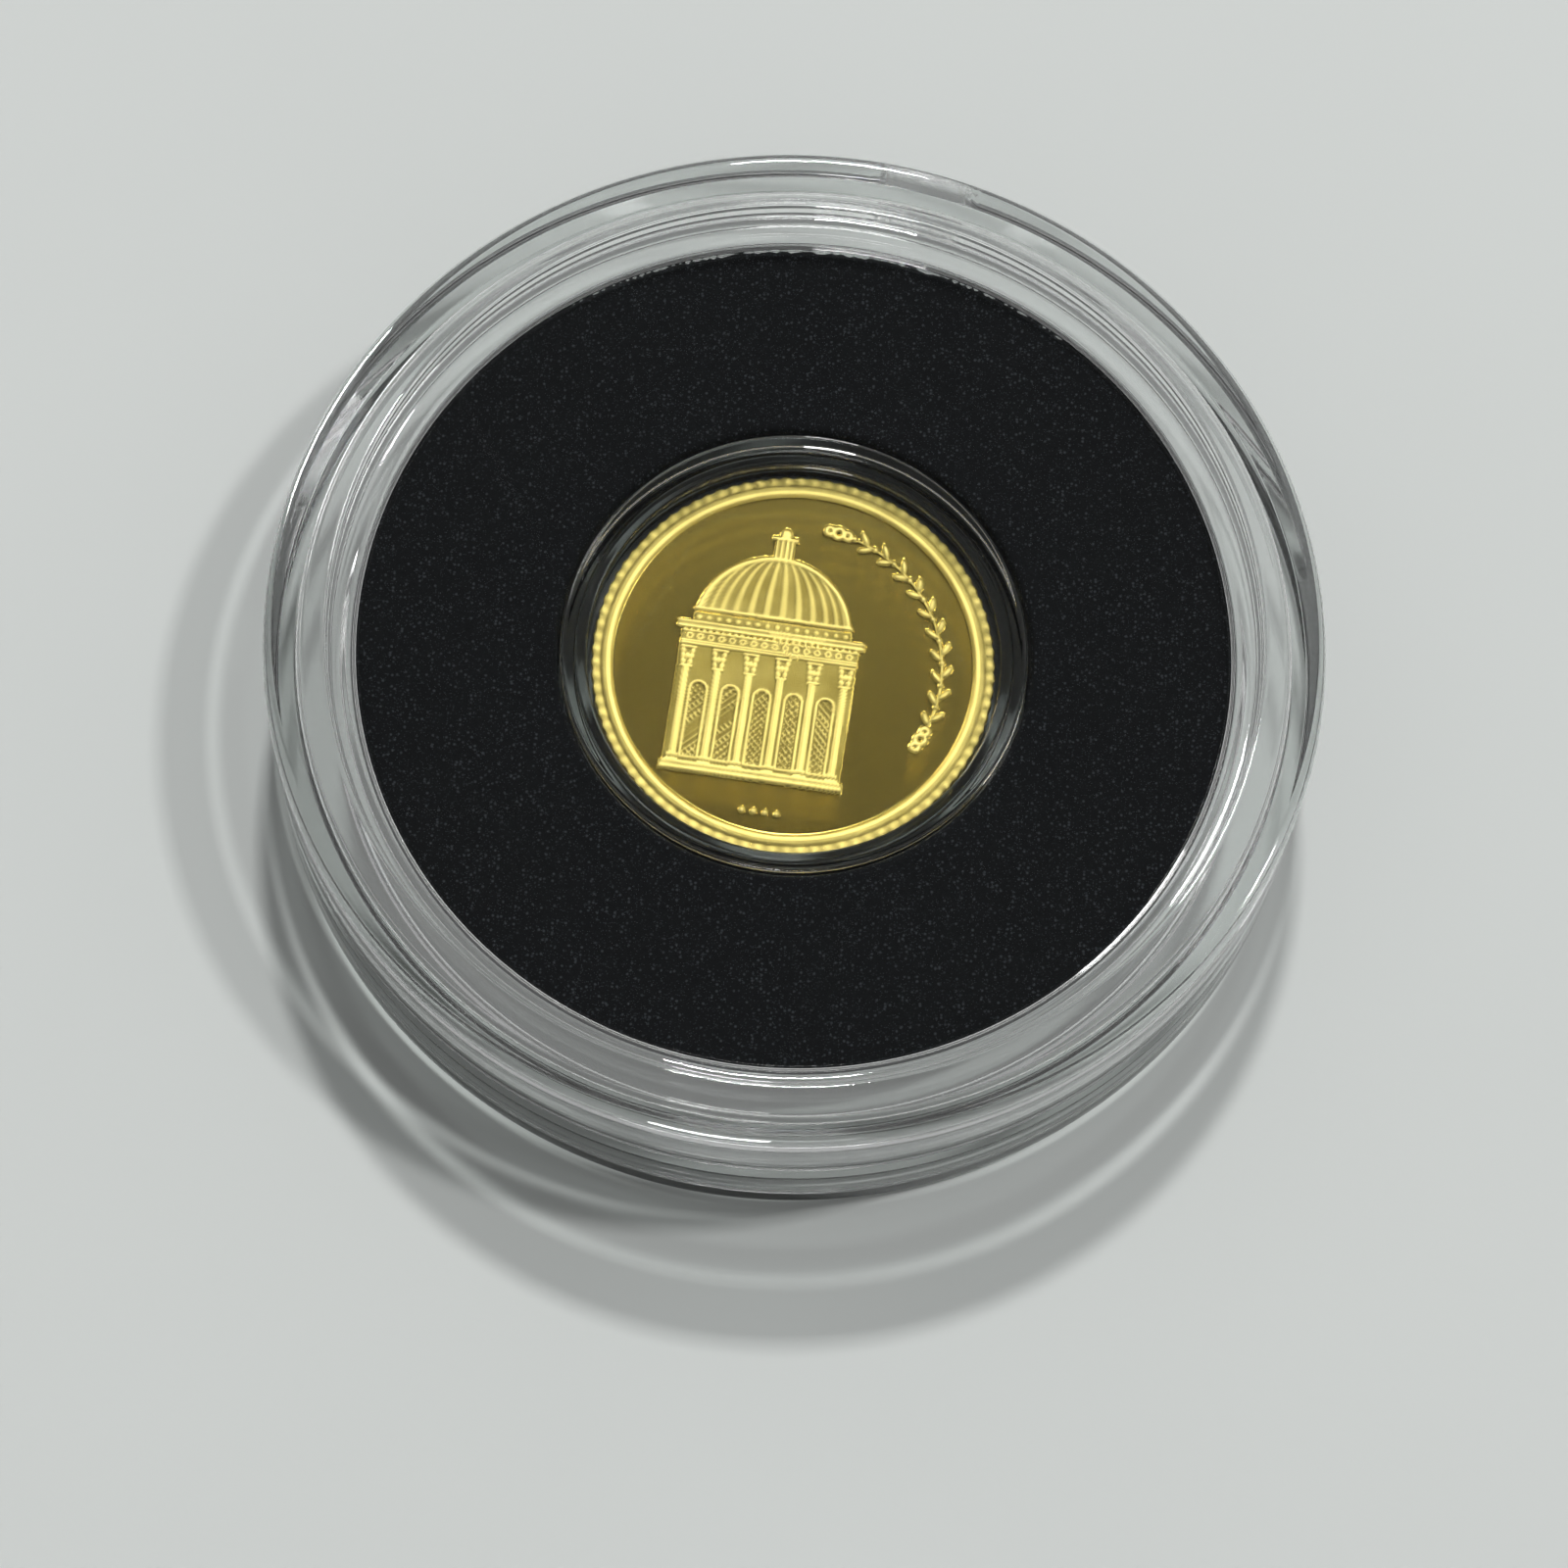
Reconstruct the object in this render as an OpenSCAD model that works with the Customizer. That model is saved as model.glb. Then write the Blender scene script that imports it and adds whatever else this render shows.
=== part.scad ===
// Round two-part coin capsule with a foam ring, a small inner capsule and a gold coin.
// Millimetres, +Z up. The origin is the centre of the foot rim, on the surface that the capsule stands on.

/* [Capsule] */
// Outer diameter of the closed capsule
capsule_d = 36; // [32:0.1:46]
// Height of the closed capsule
capsule_h = 7.4; // [7:0.1:10]
// Thickness of each window
window_t = 1.2; // [0.8:0.05:1.4]
// Depth of each window below its rim
recess_depth = 0.9; // [0.5:0.05:1.1]
// Width of the raised rim round each window
rim_w = 2.15; // [1.6:0.05:2.6]
// Thickness of the lid's skirt
skirt_wall = 1.05; // [0.8:0.05:1.4]
// Thickness of the base's upright wall
base_wall = 1.8; // [1.2:0.05:2.2]
// Depth of the lid's plug that reaches into the base's wall
plug_depth = 0.35; // [0.2:0.05:0.6]

/* [Edges] */
// Rounding of the capsule's outer edges
outer_round = 0.4; // [0.2:0.05:0.6]
// Rounding at the foot of the wall round each window
recess_fillet = 0.45; // [0.2:0.05:0.6]
// Rounding of the rim's inner edge
rim_round = 0.2; // [0.1:0.05:0.3]
// Rounding of the hidden edges of the skirt, the wall and the plug
hidden_round = 0.2; // [0.18:0.01:0.24]
// Depth of the groove round the parting line, for a fingernail
groove_depth = 0.4; // [0.2:0.05:0.5]
// Height of that groove at its mouth
groove_h = 0.9; // [0.4:0.1:1.2]
// Width of the flat where each half was cut from its moulding gate
gate_w = 3; // [2:0.1:4]
// Height of that flat
gate_h = 2.5; // [1:0.1:2.5]

/* [Foam ring] */
// Rounding of the cut edges on the foam ring's upper side
foam_edge_round = 0.15; // [0.05:0.05:0.3]

/* [Inner capsule] */
// Thickness of the small capsule's upper window
inner_top_t = 0.9; // [0.6:0.05:1]
// Thickness of the small capsule's floor
inner_floor_t = 0.8; // [0.6:0.05:1]
// Thickness of the small lid's skirt
inner_skirt_wall = 0.45; // [0.35:0.05:0.6]
// Thickness of the small base's upright wall
inner_wall = 0.4; // [0.35:0.05:0.6]
// Height of the small base's shoulder above its floor, where the small lid's skirt lands
inner_shoulder = 0.4; // [0.3:0.05:0.6]
// Rounding of the small capsule's outer edges
inner_round = 0.2; // [0.1:0.05:0.25]

/* [Coin] */
// Diameter of the coin
coin_d = 13.92; // [11:0.01:18]
// Thickness of the coin over its rims
coin_t = 0.6; // [0.5:0.05:0.8]
// Width of the raised rim on each face
coin_rim_w = 0.7; // [0.4:0.05:1]
// Depth of each field below the rim
field_depth = 0.12; // [0.06:0.01:0.15]
// Height of the relief above the field
relief_h = 0.09; // [0.04:0.01:0.1]
// Number of reeds round the edge
reeds = 90; // [40:10:140]
// Depth of the grooves between the reeds
reed_depth = 0.06; // [0.02:0.01:0.08]
// Turn of the coin in its capsule, in degrees
coin_turn = -4; // [-180:1:180]

/* [Clearances] */
// Radial gap between the base's wall and the lid's skirt
lid_gap = 0.05; // [0.03:0.01:0.1]
// Radial gap between the lid's plug and the base's wall
plug_gap = 0.1; // [0.05:0.01:0.2]
// Gap between the top of a wall and the plate above it
top_gap = 0.1; // [0.05:0.01:0.2]
// Radial gap between the foam ring and the base's wall
foam_side_gap = 0.15; // [0.13:0.01:0.3]
// Gap between the foam ring or the small capsule and the lid's window
contents_gap = 0.1; // [0.05:0.01:0.2]
// Radial gap between the foam ring and the small capsule
foam_hole_gap = 0.1; // [0.05:0.01:0.3]
// Radial gap between the small base's wall and the small lid's skirt
inner_lid_gap = 0.05; // [0.03:0.01:0.1]
// Radial gap between the coin and the small capsule
coin_gap = 0.14; // [0.12:0.01:0.4]

/* [Hidden] */

// Overlap that welds shapes together and carries cuts past a surface
lap = 0.1;
// Rounding inside the corners where a floor or a shoulder meets a wall
corner_fillet = 0.12;
// Roundings inside the small capsule
small_fillet = 0.1;
// Segments of the turned shapes
turn_fn = 180;
// Segments of the roundings
round_fn = 48;

capsule_r = capsule_d / 2;
part_z = capsule_h / 2;
recess_r = capsule_r - rim_w;
skirt_in_r = capsule_r - skirt_wall;
wall_out_r = skirt_in_r - lid_gap;
seat_r = wall_out_r - base_wall;
plug_r = seat_r - plug_gap;
floor_z = recess_depth + window_t;
lid_window_z = capsule_h - recess_depth - window_t;
plate_z = lid_window_z + plug_depth;
wall_top_z = plate_z - top_gap;
contents_top_z = lid_window_z - contents_gap;

coin_r = coin_d / 2;
inner_seat_r = coin_r + coin_gap;
inner_wall_r = inner_seat_r + inner_wall;
inner_skirt_r = inner_wall_r + inner_lid_gap;
inner_r = inner_skirt_r + inner_skirt_wall;
inner_floor_z = floor_z + inner_floor_t;
inner_part_z = inner_floor_z + inner_shoulder;
inner_window_z = contents_top_z - inner_top_t;
inner_wall_top_z = inner_window_z - top_gap / 2;

foam_r = seat_r - foam_side_gap;
foam_hole_r = inner_r + foam_hole_gap;

// The gates were on the right of the lid and the left of the base, as the coin is looked at
lid_gate_angle = 79;
base_gate_angle = 176;

// ---- shapes shared by the turned pieces ----

// Rectangle of a turned profile, between two radii and two heights
module bar(r0, r1, z0, z1) {
    translate([r0, z0])
        square([r1 - r0, z1 - z0]);
}

// Scrap between a square corner at (r, z) and a rounding of radius f that lies along (sr, sz) from it.
// It is taken off an outer corner, or added to fill an inner one.
module corner(r, z, f, sr, sz) {
    difference() {
        translate([r + sr * (f - lap) / 2, z + sz * (f - lap) / 2])
            square(f + lap, center = true);
        translate([r + sr * f, z + sz * f])
            circle(f, $fn = round_fn);
    }
}

module turned() {
    rotate_extrude($fn = turn_fn)
        children();
}

// Half of the groove round the parting line; it is the same cut for the lid and the base
module groove() {
    reach = groove_h / 2 * (groove_depth + lap) / groove_depth;
    polygon([
        [capsule_r - groove_depth, part_z],
        [capsule_r + lap, part_z + reach],
        [capsule_r + lap, part_z - reach]
    ]);
}

// Block that cuts the gate's flat on the outer wall, centred on the height z
module gate_cut(angle, z) {
    flat_r = sqrt(pow(capsule_r, 2) - pow(gate_w / 2, 2));
    rotate([0, 0, angle])
        translate([flat_r, -gate_w, z - gate_h / 2])
            cube([gate_w, 2 * gate_w, gate_h]);
}

// ---- outer capsule ----

module capsule_base() {
    color([0.86, 0.92, 0.92, 0.35])
        difference() {
            turned() {
                difference() {
                    union() {
                        bar(0, capsule_r, recess_depth, floor_z);
                        bar(recess_r, capsule_r, 0, floor_z);
                        bar(seat_r, capsule_r, floor_z - lap, part_z);
                        bar(seat_r, wall_out_r, floor_z - lap, wall_top_z);
                    }
                    corner(capsule_r, 0, outer_round, -1, 1);
                    corner(recess_r, 0, rim_round, 1, 1);
                    corner(seat_r, wall_top_z, hidden_round, 1, -1);
                    corner(wall_out_r, wall_top_z, hidden_round, -1, -1);
                    groove();
                }
                corner(recess_r, recess_depth, recess_fillet, -1, -1);
                corner(seat_r, floor_z, corner_fillet, -1, 1);
                corner(wall_out_r, part_z, corner_fillet, 1, 1);
            }
            gate_cut(base_gate_angle, part_z / 2);
        }
}

module capsule_lid() {
    color([0.86, 0.92, 0.92, 0.35])
        difference() {
            turned() {
                difference() {
                    union() {
                        bar(0, plug_r, lid_window_z, capsule_h - recess_depth);
                        bar(0, capsule_r, plate_z, capsule_h - recess_depth);
                        bar(recess_r, capsule_r, plate_z, capsule_h);
                        bar(skirt_in_r, capsule_r, part_z, plate_z + lap);
                    }
                    corner(capsule_r, capsule_h, outer_round, -1, -1);
                    corner(recess_r, capsule_h, rim_round, 1, -1);
                    corner(plug_r, lid_window_z, hidden_round, -1, 1);
                    corner(skirt_in_r, part_z, hidden_round, 1, 1);
                    groove();
                }
                corner(recess_r, capsule_h - recess_depth, recess_fillet, -1, 1);
                corner(plug_r, plate_z, corner_fillet, 1, -1);
                corner(skirt_in_r, plate_z, corner_fillet, -1, -1);
            }
            gate_cut(lid_gate_angle, capsule_h - part_z / 2);
        }
}

module foam_ring() {
    color([0.03, 0.03, 0.035])
        turned()
            difference() {
                bar(foam_hole_r, foam_r, floor_z, contents_top_z);
                corner(foam_hole_r, contents_top_z, foam_edge_round, 1, -1);
                corner(foam_r, contents_top_z, foam_edge_round, -1, -1);
            }
}

// ---- small capsule round the coin ----

module inner_base() {
    color([0.9, 0.94, 0.95, 0.35])
        turned() {
            difference() {
                union() {
                    bar(0, inner_r, floor_z, inner_floor_z);
                    bar(inner_seat_r, inner_r, inner_floor_z - lap, inner_part_z);
                    bar(inner_seat_r, inner_wall_r, inner_floor_z - lap, inner_wall_top_z);
                }
                corner(inner_r, floor_z, inner_round, -1, 1);
                corner(inner_r, inner_part_z, small_fillet, -1, -1);
                corner(inner_seat_r, inner_wall_top_z, small_fillet, 1, -1);
                corner(inner_wall_r, inner_wall_top_z, small_fillet, -1, -1);
            }
            corner(inner_seat_r, inner_floor_z, small_fillet, -1, 1);
        }
}

module inner_lid() {
    color([0.9, 0.94, 0.95, 0.35])
        turned()
            difference() {
                union() {
                    bar(0, inner_r, inner_window_z, contents_top_z);
                    bar(inner_skirt_r, inner_r, inner_part_z, inner_window_z + lap);
                }
                corner(inner_r, contents_top_z, inner_round, -1, -1);
                corner(inner_r, inner_part_z, small_fillet, -1, 1);
            }
}

// ---- coin ----

field_r = coin_r - coin_rim_w;
// Circle that the ornament follows
ornament_r = field_r - 2 * coin_rim_w;
// One unit of the relief's own drawing; every place in it scales with the field
u = field_r / 6.26;
// Middle of the pavilion, left of the coin's own middle to leave room for the ornament
pavilion_x = -0.9 * u;
// Level of the pavilion's floor, the height of its columns and the level of its eaves
foot_y = -4.1 * u;
column_h = 4.3 * u;
eaves_y = foot_y + column_h;
// Height of the entablature over the columns, and the level of its top
entablature_h = 0.9 * u;
drum_y = eaves_y + entablature_h;
// Number of bays between the columns, and the distance between two columns
bays = 5;
bay = 1.1 * u;
pavilion_w = (bays + 0.6) * bay;

// Round-topped opening, its foot at the origin
module arch(w, h) {
    translate([-w / 2, 0])
        square([w, h - w / 2]);
    translate([0, h - w / 2])
        circle(w / 2, $fn = round_fn);
}

// Shaft of a column between a base block and a capital, its foot at the origin
module column(h) {
    shaft_w = 0.26 * u;
    block_w = 0.44 * u;
    base_h = 0.28 * u;
    capital_h = 0.55 * u;
    translate([-shaft_w / 2, 0])
        square([shaft_w, h]);
    translate([-block_w / 2, 0])
        square([block_w, base_h]);
    translate([-block_w / 2, h - capital_h])
        square([block_w, capital_h]);
}

// Five-petalled rosette
module rosette(r) {
    petal_r = 0.42 * r;
    for (i = [0 : 4])
        rotate(i * 72)
            translate([0.6 * r, 0])
                circle(petal_r, $fn = round_fn);
}

// Bar centred on the pavilion, its lower edge at the height y
module level_bar(w, y, h) {
    translate([pavilion_x - w / 2, y])
        square([w, h]);
}

// Half-round dome over a drum, with a lantern and a ball on top
module dome() {
    dome_r = 2.75 * u;
    drum_h = 0.4 * u;
    lantern_w = 0.7 * u;
    lantern_h = 0.8 * u;
    ball_r = 0.25 * u;
    gap = 0.1 * u;
    level_bar(2 * dome_r, drum_y - gap, drum_h);
    intersection() {
        translate([pavilion_x, drum_y])
            circle(dome_r, $fn = turn_fn);
        level_bar(2 * dome_r, drum_y + drum_h, dome_r);
    }
    level_bar(lantern_w, drum_y + dome_r - gap, lantern_h);
    translate([pavilion_x, drum_y + dome_r + lantern_h])
        circle(ball_r, $fn = round_fn);
}

// Garden pavilion: a dome over a row of columns with round-topped openings between them
module pavilion() {
    step_h = 0.35 * u;
    frame_w = 0.12 * u;
    opening_w = 0.54 * u;
    opening_h = 3.1 * u;
    dome();
    level_bar(pavilion_w, eaves_y, 0.6 * entablature_h);
    level_bar(pavilion_w + step_h, eaves_y + 0.7 * entablature_h, 0.3 * entablature_h);
    level_bar(pavilion_w, foot_y - step_h, step_h + lap * u);
    for (i = [0 : bays])
        translate([pavilion_x + (i - bays / 2) * bay, foot_y])
            column(column_h + lap * u);
    for (i = [0.5 : bays - 0.5])
        translate([pavilion_x + (i - bays / 2) * bay, foot_y])
            difference() {
                arch(opening_w, opening_h);
                translate([0, frame_w])
                    arch(opening_w - 2 * frame_w, opening_h - 2 * frame_w);
            }
}

// Ornament in an arc beside the pavilion: a rosette at each end and leaf beads between them.
// A row of four small beads lies below the pavilion.
module ornament() {
    rosette_r = 0.42 * u;
    leaf_r = 0.26 * u;
    bead_r = 0.12 * u;
    for (a = [80, -24])
        rotate(a)
            translate([ornament_r, 0])
                rosette(rosette_r);
    for (a = [-12 : 10 : 68])
        rotate(a)
            translate([ornament_r, 0])
                circle(leaf_r, $fn = round_fn);
    for (i = [0 : 3])
        translate([(0.4 * i - 1) * u, -5.5 * u])
            circle(bead_r, $fn = round_fn);
}

// Back of the coin: a ring of beads round a large rosette
module back_relief() {
    beads = 24;
    bead_r = 0.2 * u;
    rosette_r = 3 * u;
    for (i = [0 : beads - 1])
        rotate(i * 360 / beads)
            translate([ornament_r, 0])
                circle(bead_r, $fn = round_fn);
    rosette(rosette_r);
}

module coin() {
    bottom = inner_floor_z;
    top = bottom + coin_t;
    color([0.86, 0.66, 0.2])
        rotate([0, 0, coin_turn]) {
            difference() {
                translate([0, 0, bottom])
                    linear_extrude(coin_t)
                        difference() {
                            circle(coin_r, $fn = turn_fn);
                            for (i = [0 : reeds - 1])
                                rotate(i * 360 / reeds)
                                    translate([coin_r + reed_depth, 0])
                                        circle(2 * reed_depth, $fn = round_fn);
                        }
                translate([0, 0, top - field_depth])
                    cylinder(r = field_r, h = coin_t, $fn = turn_fn);
                translate([0, 0, bottom + field_depth - coin_t])
                    cylinder(r = field_r, h = coin_t, $fn = turn_fn);
            }
            translate([0, 0, top - field_depth - lap])
                linear_extrude(relief_h + lap) {
                    pavilion();
                    ornament();
                }
            translate([0, 0, bottom + field_depth - relief_h])
                linear_extrude(relief_h + lap)
                    back_relief();
        }
}

capsule_base();
capsule_lid();
foam_ring();
inner_base();
inner_lid();
coin();
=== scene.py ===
import math

import bpy
import numpy as np
from bpy.props import FloatProperty, FloatVectorProperty, IntProperty, PointerProperty
from bpy.types import Operator, Panel, PropertyGroup
from mathutils import Matrix, Vector


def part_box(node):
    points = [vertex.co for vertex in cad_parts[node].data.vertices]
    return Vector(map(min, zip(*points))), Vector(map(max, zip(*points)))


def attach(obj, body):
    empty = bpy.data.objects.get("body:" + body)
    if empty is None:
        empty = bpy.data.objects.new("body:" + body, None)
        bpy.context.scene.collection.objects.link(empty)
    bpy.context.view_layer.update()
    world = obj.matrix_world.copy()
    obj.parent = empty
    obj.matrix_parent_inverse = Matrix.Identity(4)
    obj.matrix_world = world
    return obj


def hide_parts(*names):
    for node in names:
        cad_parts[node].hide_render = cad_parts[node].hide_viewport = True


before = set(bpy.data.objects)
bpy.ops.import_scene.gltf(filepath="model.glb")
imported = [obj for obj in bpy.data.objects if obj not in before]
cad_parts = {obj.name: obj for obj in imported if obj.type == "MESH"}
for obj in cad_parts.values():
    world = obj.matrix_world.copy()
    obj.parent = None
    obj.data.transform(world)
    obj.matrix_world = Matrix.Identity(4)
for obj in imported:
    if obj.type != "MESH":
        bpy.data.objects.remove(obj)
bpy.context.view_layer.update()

bl_info = {
    "name": "Coin Capsule",
    "version": (1, 0, 0),
    "blender": (4, 5, 0),
    "location": "3D View > Sidebar > Capsule",
    "description": "Builds a clear two-part coin capsule with a foam ring, a small capsule and a gold coin",
    "category": "Add Mesh",
}

MM = 0.001
# Air between pieces that rest on each other, so that no two surfaces share one place
REST_GAP = 0.01 * MM


# ---- settings ----

def length(name, description, value):
    """A length setting, its default in millimetres."""
    return FloatProperty(
        name=name, description=description, default=value * MM, precision=5, unit="LENGTH"
    )


def angle(name, description, value):
    """An angle setting, its default in degrees."""
    return FloatProperty(
        name=name, description=description, default=math.radians(value), unit="ROTATION"
    )


def share(name, description, value):
    """A setting from 0 to 1."""
    return FloatProperty(
        name=name, description=description, default=value, min=0, max=1, subtype="FACTOR"
    )


def colour(name, description, value):
    return FloatVectorProperty(
        name=name, description=description, default=value, size=3, min=0, max=1, subtype="COLOR"
    )


class ShellSizes(PropertyGroup):
    """Walls and roundings of the outer capsule."""
    window_t: length("Window", "Thickness of each window", 1.2)
    recess_depth: length("Recess", "Depth of each window below its rim", 0.9)
    rim_w: length("Rim", "Width of the raised rim round each window", 2.15)
    skirt_wall: length("Skirt", "Thickness of the lid's skirt", 1.05)
    base_wall: length("Base wall", "Thickness of the base's upright wall", 1.8)
    plug_depth: length("Plug", "Depth of the lid's plug", 0.35)
    lid_gap: length("Lid gap", "Radial gap between the base's wall and the skirt", 0.05)
    plug_gap: length("Plug gap", "Radial gap between the plug and the base's wall", 0.1)
    top_gap: length("Top gap", "Gap between the base's wall and the lid's plate", 0.1)
    outer_round: length("Outer rounding", "Rounding of the outer edges", 0.4)
    recess_fillet: length("Recess fillet", "Rounding at the foot of the rim", 0.45)
    rim_round: length("Rim rounding", "Rounding of the rim's inner edge", 0.2)
    hidden_round: length("Hidden rounding", "Rounding of the hidden edges", 0.2)
    corner_fillet: length("Corner fillet", "Rounding inside the hidden corners", 0.12)
    groove_depth: length("Groove depth", "Depth of the parting groove", 0.4)
    groove_h: length("Groove height", "Height of the parting groove at its mouth", 0.9)
    gate_w: length("Gate width", "Width of the flat where the gate was cut off", 3)
    gate_h: length("Gate height", "Height of that flat", 2.5)
    lid_gate: angle("Lid gate", "Where the lid's gate was", 79)
    base_gate: angle("Base gate", "Where the base's gate was", 176)


class SmallShellSizes(PropertyGroup):
    """Walls and roundings of the small capsule round the coin."""
    top_t: length("Window", "Thickness of the upper window", 0.9)
    floor_t: length("Floor", "Thickness of the floor", 0.8)
    skirt_wall: length("Skirt", "Thickness of the lid's skirt", 0.45)
    wall: length("Wall", "Thickness of the base's upright wall", 0.4)
    shoulder: length("Shoulder", "Height of the base's shoulder above its floor", 0.4)
    lid_gap: length("Lid gap", "Radial gap between the wall and the skirt", 0.05)
    top_gap: length("Top gap", "Gap between the wall and the window", 0.05)
    outer_round: length("Outer rounding", "Rounding of the outer edges", 0.2)
    fillet: length("Fillet", "Roundings inside", 0.1)


class AcrylicFinish(PropertyGroup):
    """Clear moulded acrylic."""
    tint: colour("Tint", "Colour of the clear plastic", (0.992, 0.997, 0.995))
    shade: colour("Shade", "Lamps' light that a face lets through", (0.93, 0.94, 0.935))
    edge_shade: colour("Edge shade", "The same where it enters the face at a slant", (0.12, 0.125, 0.125))
    roughness: share("Roughness", "Roughness of the polished faces", 0.012)
    gate_tint: colour("Gate tint", "Colour of the cut gate", (0.62, 0.62, 0.60))
    gate_roughness: share("Gate roughness", "Roughness of the cut gate", 0.3)
    wave: share("Waves", "Strength of the moulding waves", 0.1)
    wave_size: length("Wave size", "Size of the moulding waves", 4.5)
    scratches: share("Scratches", "How strong the fine handling scratches are", 0.25)
    # Less clearness mixes a white haze into the faces that rub: partly real scuffing, partly painted light
    # that brightens the rims
    scuff_and_light_clear: share("Scuffed clearness", "How clear the faces are that rub on each other", 0.89)


class FoamFinish(PropertyGroup):
    """Die-cut closed-cell foam."""
    colour: colour("Colour", "Colour of the foam", (0.008, 0.0088, 0.0096))
    cell_colour: colour("Cell colour", "Colour of the cell walls that catch the light", (0.05, 0.055, 0.062))
    cell: length("Cell", "Size of the foam's cells", 0.13)
    depth: length("Depth", "Depth of the cells in the cut top", 0.03)
    fill: share("Fill", "How full and stiff the foam is", 0.9)


class CoinSizes(PropertyGroup):
    """The gold coin and its relief."""
    rim_w: length("Rim", "Width of the raised rim", 0.7)
    field_depth: length("Field depth", "Depth of the field below the rim", 0.12)
    relief_h: length("Relief", "Height of the relief above the field", 0.1)
    bead_w: length("Bead band", "Width of the beaded band at the edge", 0.3)
    reed_depth: length("Reed depth", "Depth of the grooves between the reeds", 0.06)
    reeds: IntProperty(name="Reeds", description="Number of reeds round the edge", default=90)
    turn: angle("Turn", "Turn of the coin in its capsule", -4)
    gold: colour("Gold", "Colour of the polished gold", (0.9, 0.68, 0.16))
    # The relief's colour runs from painted shade in its low parts to a painted highlight on its high parts
    painted_shade_gold: colour("Low gold", "Colour of the relief's lowest frosted parts", (0.15, 0.114, 0.024))
    painted_highlight_gold: colour("High gold", "Colour of the relief's highest parts", (0.62, 0.5, 0.16))
    mirror: share("Mirror", "Roughness of the polished field", 0.1)
    frost: share("Frost", "Roughness of the frosted relief", 0.55)


class StageLook(PropertyGroup):
    """Floor, lights and camera."""
    floor: colour("Floor", "Colour of the floor", (0.80, 0.83, 0.81))
    walls: FloatProperty(
        name="Walls", description="Brightness of the room at the horizon", default=0.42, min=0)
    ceiling: FloatProperty(name="Ceiling", description="Brightness of the room overhead", default=0.03, min=0)
    cards: FloatProperty(name="Cards", description="Strength of the cards seen in edges", default=1.0)
    side_lamp: FloatProperty(name="Side lamp", description="Strength of the lamp on the right", default=1.0)
    far_lamp: FloatProperty(name="Far lamp", description="Strength of the lamp at the far side", default=1.0)
    distance: length("Distance", "From the camera to the point that it looks at", 167.65)
    tilt: angle("Tilt", "Camera's line of sight from the vertical", 19.45)
    roll: angle("Roll", "Turn of the camera round its line of sight", 4.39)
    aim_y: length("Aim", "Where the line of sight meets the capsule's middle plane", -4.22)
    lens: FloatProperty(name="Lens", description="Focal length in millimetres", default=112.5)


def settings(name):
    """One group of settings of the scene."""
    return getattr(bpy.context.scene, "capsule_" + name)


# ---- places that more than one piece needs, from the frame ----

def shell_levels():
    """Radii and heights of the outer capsule, from its box and its walls."""
    s = settings("shell")
    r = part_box("capsule_base")[1].x
    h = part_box("capsule_lid")[1].z
    skirt_in = r - s.skirt_wall
    wall_out = skirt_in - s.lid_gap
    seat = wall_out - s.base_wall
    window = h - s.recess_depth - s.window_t
    return {
        "r": r, "h": h, "part": h / 2, "recess_r": r - s.rim_w, "skirt_in": skirt_in,
        "wall_out": wall_out, "seat": seat, "plug": seat - s.plug_gap,
        "floor": s.recess_depth + s.window_t, "window": window,
        "plate": window + s.plug_depth, "wall_top": window + s.plug_depth - s.top_gap,
    }


# ---- turned shapes ----

def round_corner(before, corner, after, radius, steps, guard):
    """Points of an arc in a corner, with a guard point beside each end so that flats shade flat."""
    to_before, to_after = before - corner, after - corner
    room_before, room_after = to_before.length, to_after.length
    to_before.normalize()
    to_after.normalize()
    half = to_before.angle(to_after) / 2
    reach = radius / math.tan(half)
    middle = corner + (to_before + to_after).normalized() * radius / math.sin(half)
    start = corner + to_before * reach - middle
    sweep = start.angle_signed(corner + to_after * reach - middle)
    points = [middle + Matrix.Rotation(-sweep * i / steps, 2) @ start for i in range(steps + 1)]
    if reach + guard < room_before / 2:
        points.insert(0, corner + to_before * (reach + guard))
    if reach + guard < room_after / 2:
        points.append(corner + to_after * (reach + guard))
    return points


def outline(corners, closed=False, steps=8, guard=0.03 * MM):
    """Outline in (r, z) through corners given as (r, z) or (r, z, rounding)."""
    places = [Vector(c[:2]) for c in corners]
    points = []
    for i, c in enumerate(corners):
        inside = closed or 0 < i < len(corners) - 1
        if len(c) == 3 and inside:
            before, after = places[i - 1], places[(i + 1) % len(places)]
            points += round_corner(before, places[i], after, c[2], steps, guard)
        else:
            points.append(places[i])
    return points


def shaded_mesh(name, points, faces):
    """An object at the origin with smooth faces."""
    mesh = bpy.data.meshes.new(name)
    mesh.from_pydata(points, [], faces)
    mesh.shade_smooth()
    piece = bpy.data.objects.new(name, mesh)
    bpy.context.scene.collection.objects.link(piece)
    return piece


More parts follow.
